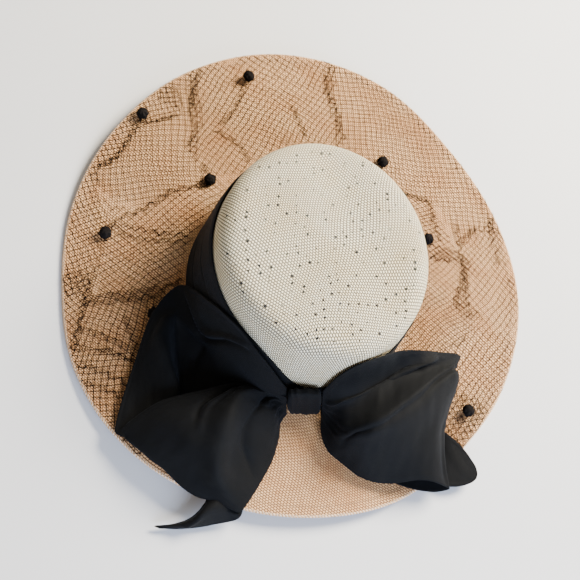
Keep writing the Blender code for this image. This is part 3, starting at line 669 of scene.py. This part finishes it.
makeBand()
makeRibbon("loop_left_ribbon", "bow_loop_left", leftLoop)
makeRibbon("loop_right_ribbon", "bow_loop_right", rightLoop)
makeRibbon("tail_left_ribbon", "bow_tail_left", leftTail)
makeRibbon("tail_right_ribbon", "bow_tail_right", rightTail)
makeKnot()
print("ribbon made")


veil = {
    "spacing": 5.1, "radius": 0.23, "rise": 0.5, "knotRadius": 0.36, "crownGap": 4.4, "rimGap": 0.2,
    "creaseRadius": 0.17, "creaseSwing": 2.3, "slack": 0.3, "slackLength": 24.0, "from": -50.0, "to": 228.0,
    "bends": ((3.0, 80.0, 0), (0.55, 19.0, 20)),  # mm, length in mm, seed step
    # each panel: outline as x, y, x, y in mm, headings of its two sets of strands in degrees, spacing share, lift in mm
    "panels": (
        ((116, -80, 153, -85, 165, -96, 167, -126, 143, -169, 99, -177, 102, -119), 12, 100, 0.9, 1.2),
        ((157, 57, 202, 101, 264, 101, 229, -90, 162, -160, 108, -177, 102, -119, 116, -50, 154, -28, 167, -16, 148,
         -10, 143, 0, 153, 20), 48, 131, 1.0, 0.0),
        ((103, 65, 156, 51, 167, 39, 160, 16, 154, 1, 173, -14, 153, -34, 112, -63, 68, -64, 92, -3), 40, 142, 0.86,
         0.7),
        ((90, 123, 103, 114, 138, 103, 144, 79, 156, 51, 134, 37, 101, 45, 91, 81), 30, 128, 0.9, 0.2),
        ((45, 272, 142, 286, 280, 194, 260, 79, 177, 71, 156, 51, 141, 96, 103, 107, 82, 117, 44, 146, 41, 179, 35,
         212), 2, 92, 1.0, 0.6),
        ((-95, 276, 59, 299, 49, 208, 54, 158, 38, 135, -19, 113, -78, 103, -96, 132, -85, 156, -93, 185), -28, 60,
         1.02, 0.0),
        ((-189, 217, -90, 276, -81, 192, -79, 154, -85, 122, -73, 105, -86, 92, -125, 72, -157, 76, -176, 99, -170,
         114, -153, 126, -143, 145, -134, 159, -122, 160, -101, 170), 4, 93, 1.0, 0.7),
        ((-236, 147, -127, 225, -94, 185, -98, 165, -121, 154, -133, 151, -142, 135, -151, 116, -169, 104, -164, 75,
         -155, 55, -163, 45, -167, 14, -174, -8, -210, -19, -231, 69), 22, 112, 0.95, 0.0),
        ((-171, -5, -165, 17, -163, 43, -155, 61, -125, 79, -86, 98, -71, 111, -56, 95, -83, 34, -87, -12, -112, -21,
         -148, -16), 40, 138, 1.08, 0.2),
        ((-227, -3, -171, 17, -166, -8, -172, -17, -176, -39, -181, -60, -192, -85, -215, -62), 42, 132, 0.95, 0.4),
        ((-177, -9, -156, -6, -112, -10, -83, -3, -92, -39, -124, -76, -141, -70, -163, -59, -185, -62, -180, -35),
         -22, 74, 1.0, 0.9),
        ((-193, -51, -163, -54, -138, -60, -124, -65, -116, -99, -123, -154, -160, -147, -206, -102), -4, 84, 0.92,
         0.2)),
    # what lies between the panels, laid out the same way
    "between": ((-300, -200, 300, -200, 300, 320, -300, 320), 44, 135, 1.0, 0.1),
    "creases": (  # x, y, x, y in mm
        (-170, 109, -153, 121, -143, 142, -135, 157, -123, 158, -104, 165), (-88, 197, -90, 172, -86, 154, -92, 135),
        (-78, 118, -75, 101, -87, 94, -108, 88, -125, 74, -146, 64, -156, 55, -162, 45, -162, 38, -167, 14, -172, -4,
         -176, -13, -179, -35, -183, -56), (-144, -29, -140, -40, -136, -52, -135, -63),
        (103, 109, 120, 105, 133, 101, 134, 80, 139, 60),
        (124, 41, 140, 40, 156, 43, 153, 20, 144, 0, 148, -10, 160, -15), (176, 78, 167, 70, 157, 57),
        (195, 90, 191, 69, 194, 53, 192, 41), (40, 230, 41, 207, 49, 191, 50, 171, 54, 158), (4, 189, 10, 173, 16, 156),
        (-81, 220, -86, 197, -90, 175), (-36, 217, -49, 179, -63, 161), (-164, -57, -151, -61, -135, -68),
        (-158, 54, -146, 55, -129, 51, -112, 48, -93, 47), (-151, 49, -133, 43, -112, 41, -95, 40),
        (-176, -13, -156, -10, -132, -6, -112, -2, -98, 5), (-176, -18, -156, -16, -132, -12, -112, -8),
        (-69, 154, -46, 140, -38, 125), (157, 80, 156, 50, 157, 20, 155, -5),
        (-179, -39, -165, -44, -148, -52, -138, -60), (-186, -70, -170, -72, -152, -80, -140, -86),
        (-180, -84, -162, -88, -146, -96)),
}


def pairs(numbers):
    # x, y, x, y to rows of x, y.
    return np.array(numbers, dtype=float).reshape(-1, 2)


def insideOutline(x, y, outline):
    # Odd count of the outline's sides crossed on the way out to +X.
    corners = pairs(outline)
    inside = np.zeros(x.shape, dtype=bool)
    for (ax, ay), (bx, by) in zip(corners, np.roll(corners, -1, axis=0)):
        crosses = (ay > y) != (by > y)
        inside ^= crosses & (x < ax + (bx - ax) * (y - ay) / (by - ay if by != ay else 1e-9))
    return inside


def onBrim(x, y):
    # Between the band's foot and the rim, and not in the bare front.
    angle = np.arctan2(y, x)
    reach = np.hypot(x, y)
    degrees = (np.degrees(angle) - veil["from"]) % 360.0
    return ((reach > footReach(angle, veil["crownGap"])) & (reach < rimAt(angle) - veil["rimGap"])
            & (degrees < veil["to"] - veil["from"]))


def netHeight(x, y, lift):
    # Over the straw by the rise, a panel's own lift and soft slack.
    slack = veil["slack"] * (1 + softWaves(x, y, veil["slackLength"], 41))
    return brimTop(x, y) + veil["rise"] + 0.5 * lift + slack


def tubes(paths, keep, radius, sides=4):
    # Rings of a few points round each path point, joined where both ends are kept, drawn to a point at loose ends.
    tangent = unit(np.gradient(paths, axis=1))
    side = unit(np.cross(tangent, [0.0, 0.0, 1.0]))
    up = np.cross(side, tangent)
    both = keep.copy()
    both[:, 1:] &= keep[:, :-1]
    both[:, :-1] &= keep[:, 1:]
    size = (np.where(both, 1.0, 0.15) * radius)[..., None, None]
    turn = (np.arange(sides) * 2 * np.pi / sides)[None, None, :, None]
    rings = paths[:, :, None] + size * (np.cos(turn) * side[:, :, None] + np.sin(turn) * up[:, :, None])
    lines, steps = keep.shape
    index = np.arange(lines * steps * sides).reshape(lines, steps, sides)
    joined = keep[:, :-1] & keep[:, 1:]
    a, b = index[:, :-1][joined], index[:, 1:][joined]
    faces = np.stack([a, b, np.roll(b, -1, axis=1), np.roll(a, -1, axis=1)], axis=-1).reshape(-1, 4)
    used, faces = np.unique(faces, return_inverse=True)  # points of no face are dropped
    return rings.reshape(-1, 3)[used], faces.reshape(-1, 4)


def panelStrands(panel, number, others=()):
    # Lattice point = i steps along one heading plus j along the other, bent by soft waves that both sets share;
    # points inside the outlines of others are left out.
    outline, headingA, headingB, share, lift = panel
    corners = pairs(outline)
    middle = corners.mean(axis=0)
    spacing = veil["spacing"] * share
    stepA, stepB = (spacing * np.array([np.cos(way), np.sin(way)]) for way in np.radians([headingA, headingB]))
    most = int(np.ceil(1.3 * np.linalg.norm(corners - middle, axis=1).max() / spacing))
    whole = np.arange(-most, most + 1)
    fine = np.arange(-2 * most, 2 * most + 1) / 2

    def point(i, j):
        flat = middle + i[..., None] * stepA + j[..., None] * stepB
        x, y = flat[..., 0], flat[..., 1]
        bends = [sum(size * softWaves(x, y, length, seed + step + number) for size, length, step in veil["bends"])
                 for seed in (60, 160)]
        x, y = x + bends[0], y + bends[1]
        keep = insideOutline(x, y, outline) & onBrim(x, y)
        for covered in others:
            keep &= ~insideOutline(x, y, covered)
        return np.stack([x, y, netHeight(x, y, lift)], axis=-1), keep

    j, i = np.meshgrid(whole, fine, indexing="ij")
    pathsA, keepA = point(i.astype(float), j.astype(float))
    pathsB, keepB = point(j.astype(float), i.astype(float))
    nodes, keepNodes = point(*np.meshgrid(whole.astype(float), whole.astype(float), indexing="ij"))
    return (pathsA, keepA), (pathsB, keepB), nodes[keepNodes]


def knotMesh(places, radius):
    # A small eight-sided bead at each place.
    shape = np.array([(1, 0, 0), (0, 1, 0), (-1, 0, 0), (0, -1, 0), (0, 0, 0.8), (0, 0, -0.8)]) * radius
    sides = np.array([(0, 1, 4), (1, 2, 4), (2, 3, 4), (3, 0, 4), (1, 0, 5), (2, 1, 5), (3, 2, 5), (0, 3, 5)])
    points = (places[:, None] + shape[None]).reshape(-1, 3)
    faces = (np.arange(len(places))[:, None, None] * 6 + sides[None]).reshape(-1, 3)
    return points, faces


def creaseStrands(line, number):
    # Three strands along a soft line, each swinging from side to side so that they cross and part.
    dense = along(pairs(line), 8 * len(line))
    length = runLengths(dense)
    at = np.linspace(0, length[-1], max(6, int(length[-1] / 1.6)))
    x, y = np.interp(at, length, dense[:, 0]), np.interp(at, length, dense[:, 1])
    side = unit(np.stack([-np.gradient(y), np.gradient(x)], axis=-1))
    rng = np.random.default_rng(200 + number)
    paths = []
    for phase in rng.uniform(0, 2 * np.pi, 3):
        swing = veil["creaseSwing"] * np.sin(2 * np.pi * at / rng.uniform(9.0, 13.0) + phase)
        px, py = x + side[:, 0] * swing, y + side[:, 1] * swing
        height = netHeight(px, py, 0.8) + 0.3 * np.sin(2 * np.pi * at / 7.0 + phase)
        paths.append(np.stack([px, py, height], axis=-1))
    paths = np.array(paths)
    return paths, onBrim(paths[..., 0], paths[..., 1])


def joinMeshes(parts):
    # One list of points and one of faces, each part's faces moved on by the points before it.
    faces, count = [], 0
    for points, partFaces in parts:
        faces.extend((partFaces + count).tolist())
        count += len(points)
    return np.concatenate([points for points, partFaces in parts]), faces


def makeVeil():
    # Strands and knots of each panel, the net between them and the gathered strands at the folds, as one mesh.
    parts = []
    outlines = [panel[0] for panel in veil["panels"]]
    jobs = [(panel, ()) for panel in veil["panels"]] + [(veil["between"], outlines)]
    for number, (panel, others) in enumerate(jobs):
        strandsA, strandsB, nodes = panelStrands(panel, number, others)
        parts.append(tubes(*strandsA, veil["radius"]))
        parts.append(tubes(*strandsB, veil["radius"]))
        parts.append(knotMesh(nodes, veil["knotRadius"]))
    for number, line in enumerate(veil["creases"]):
        parts.append(tubes(*creaseStrands(line, number), veil["creaseRadius"]))
    settle(faceMesh("veil_net", *joinMeshes(parts), netYarn), ["veil"])


makeVeil()
print("veil made")


dot = {
    "plump": 0.4, "lumps": 0.9, "hairs": 420, "hairLength": 1.8, "hairWidth": 0.17, "hairLean": 0.45, "rings": 20,
    "steps": 32, "nudges": {8: (2.5, -3.7, -0.5)},  # mm, a dot that is drawn a little aside
}


def makeDot(number):
    # A lumpy ball the size of its node, with short straight fibres standing out of it.
    low, high = (np.array(corner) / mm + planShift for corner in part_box("dot_%d" % number))
    middle, half = (low + high) / 2 + dot["nudges"].get(number, (0.0, 0.0, 0.0)), (high - low) / 2
    rise = np.linspace(-np.pi / 2, np.pi / 2, dot["rings"])[:, None]
    turn = np.arange(dot["steps"])[None, :] * 2 * np.pi / dot["steps"]
    out = np.stack([np.cos(rise) * np.cos(turn), np.cos(rise) * np.sin(turn), np.sin(rise) + 0 * turn], axis=-1)
    lumps = softWaves(out[..., 0] * 9 + out[..., 2] * 5, out[..., 1] * 9, 5.0, 300 + number)
    size = (half + dot["plump"])[None, None] + dot["lumps"] * (np.cos(rise) * lumps)[..., None]
    ball = middle + out * size
    rng = np.random.default_rng(400 + number)
    heading = unit(rng.normal(size=(dot["hairs"], 3)))
    root = middle + heading * half
    lean = unit(heading + dot["hairLean"] * rng.normal(size=heading.shape))
    tip = root + lean * dot["hairLength"] * rng.uniform(0.6, 1.0, (dot["hairs"], 1))
    side = unit(np.cross(lean, rng.normal(size=heading.shape))) * dot["hairWidth"]
    other = np.cross(lean, side)
    hairs = np.stack([root + side, root - side * 0.5 + other * 0.8, root - side * 0.5 - other * 0.8, tip], axis=1)
    index = np.arange(dot["hairs"])[:, None, None] * 4
    hairFaces = (index + np.array([(0, 1, 3), (1, 2, 3), (2, 0, 3)])[None]).reshape(-1, 3)
    grid = np.arange(dot["rings"] * dot["steps"]).reshape(dot["rings"], dot["steps"])
    grid = np.hstack([grid, grid[:, :1]])
    quads = cornersOf(grid).reshape(-1, 4)
    points, faces = joinMeshes([(ball.reshape(-1, 3), quads), (hairs.reshape(-1, 3), hairFaces)])
    item = faceMesh("net_dot_%d" % number, points, faces, tuftFlock, weld=True)
    settle(item, ["dot_%d" % number])


for dotNumber in range(1, 9):
    makeDot(dotNumber)
print("dots made")


studio = {
    "floor": "#CFCECC", "floorShade": "#C8C7C5", "floorHalf": 3.0, "floorLevel": -0.0004,  # metres
    "sky": "#FFF6EA", "skyStrength": 0.55,
    # place, aim, size in metres, watts and colour
    "lights": (((1.0, 0.55, 1.05), (0.0, 0.0, 0.05), 0.8, 128.0, "#FFF8EA"),
               ((0.20, -1.20, 0.55), (0.0, 0.0, 0.05), 0.9, 43.0, "#C6DAFF")),
}
view = {
    # aimed at the middle of the crown's foot: degrees, distance in mm, focal length and shifts in picture widths
    "elevation": 62.0, "turn": -30.0, "roll": 30.0, "distance": 825.0, "focal": 960.0 / 580.0,
    "shiftX": -4.0 / 580.0, "shiftY": 8.0 / 580.0, "sensor": 36.0,
}


def makeFloor():
    half = studio["floorHalf"]
    mesh = bpy.data.meshes.new("studio_floor")
    mesh.from_pydata([(-half, -half, 0), (half, -half, 0), (half, half, 0), (-half, half, 0)], [], [(0, 1, 2, 3)])
    material, tree, shader = newMaterial("mattPaperFloor", 0.8, 0.2)
    noise = addNode(tree, "TexNoise", {"Scale": 6.0, "Detail": 2.0},
                    {"Vector": addNode(tree, "TexCoord", {}).outputs["Object"]})
    tone = addNode(tree, "Mix", {"data_type": "RGBA", 6: hexColour(studio["floor"]),
                                 7: hexColour(studio["floorShade"])}, {0: noise})
    tree.links.new(tone.outputs[2], shader.inputs["Base Color"])
    mesh.materials.append(material)
    floor = addObject("studio_floor", mesh)
    floor.location.z = studio["floorLevel"]


def makeLight(number, place, aim, size, watts, colour):
    light = bpy.data.lights.new("soft_light_%d" % number, "AREA")
    light.shape = "DISK"
    light.size = size
    light.energy = watts
    light.color = hexColour(colour)[:3]
    item = addObject(light.name, light)
    item.location = place
    item.rotation_euler = (Vector(aim) - Vector(place)).to_track_quat("-Z", "Y").to_euler()


def makeCamera():
    # Back is the way from the hat to the camera; right and up are turned round it by the roll.
    elevation, turn, roll = (np.radians(view[key]) for key in ("elevation", "turn", "roll"))
    back = np.array([np.sin(turn) * np.cos(elevation), -np.cos(turn) * np.cos(elevation), np.sin(elevation)])
    right = unit(np.cross([0, 0, 1.0], back))
    up = np.cross(back, right)
    rolledRight = np.cos(roll) * right + np.sin(roll) * up
    rolledUp = -np.sin(roll) * right + np.cos(roll) * up
    data = bpy.data.cameras.new("photo_camera")
    data.sensor_width = view["sensor"]
    data.lens = view["focal"] * view["sensor"]
    data.shift_x, data.shift_y = view["shiftX"], view["shiftY"]
    data.clip_start, data.clip_end = 0.05, 20.0
    camera = addObject("photo_camera", data)
    axes = Matrix([(*row,) for row in np.stack([rolledRight, rolledUp, back], axis=1)])
    camera.matrix_world = Matrix.Translation(Vector(toFrame(back * view["distance"]))) @ axes.to_4x4()
    bpy.context.scene.camera = camera


def makeSky():
    world = bpy.data.worlds.new("studio_sky")
    world.use_nodes = True
    shade = world.node_tree.nodes["Background"]
    shade.inputs["Color"].default_value = hexColour(studio["sky"])
    shade.inputs["Strength"].default_value = studio["skyStrength"]
    bpy.context.scene.world = world


makeFloor()
makeSky()
for lightNumber, lightRow in enumerate(studio["lights"], start=1):
    makeLight(lightNumber, *lightRow)
makeCamera()
print("studio made")
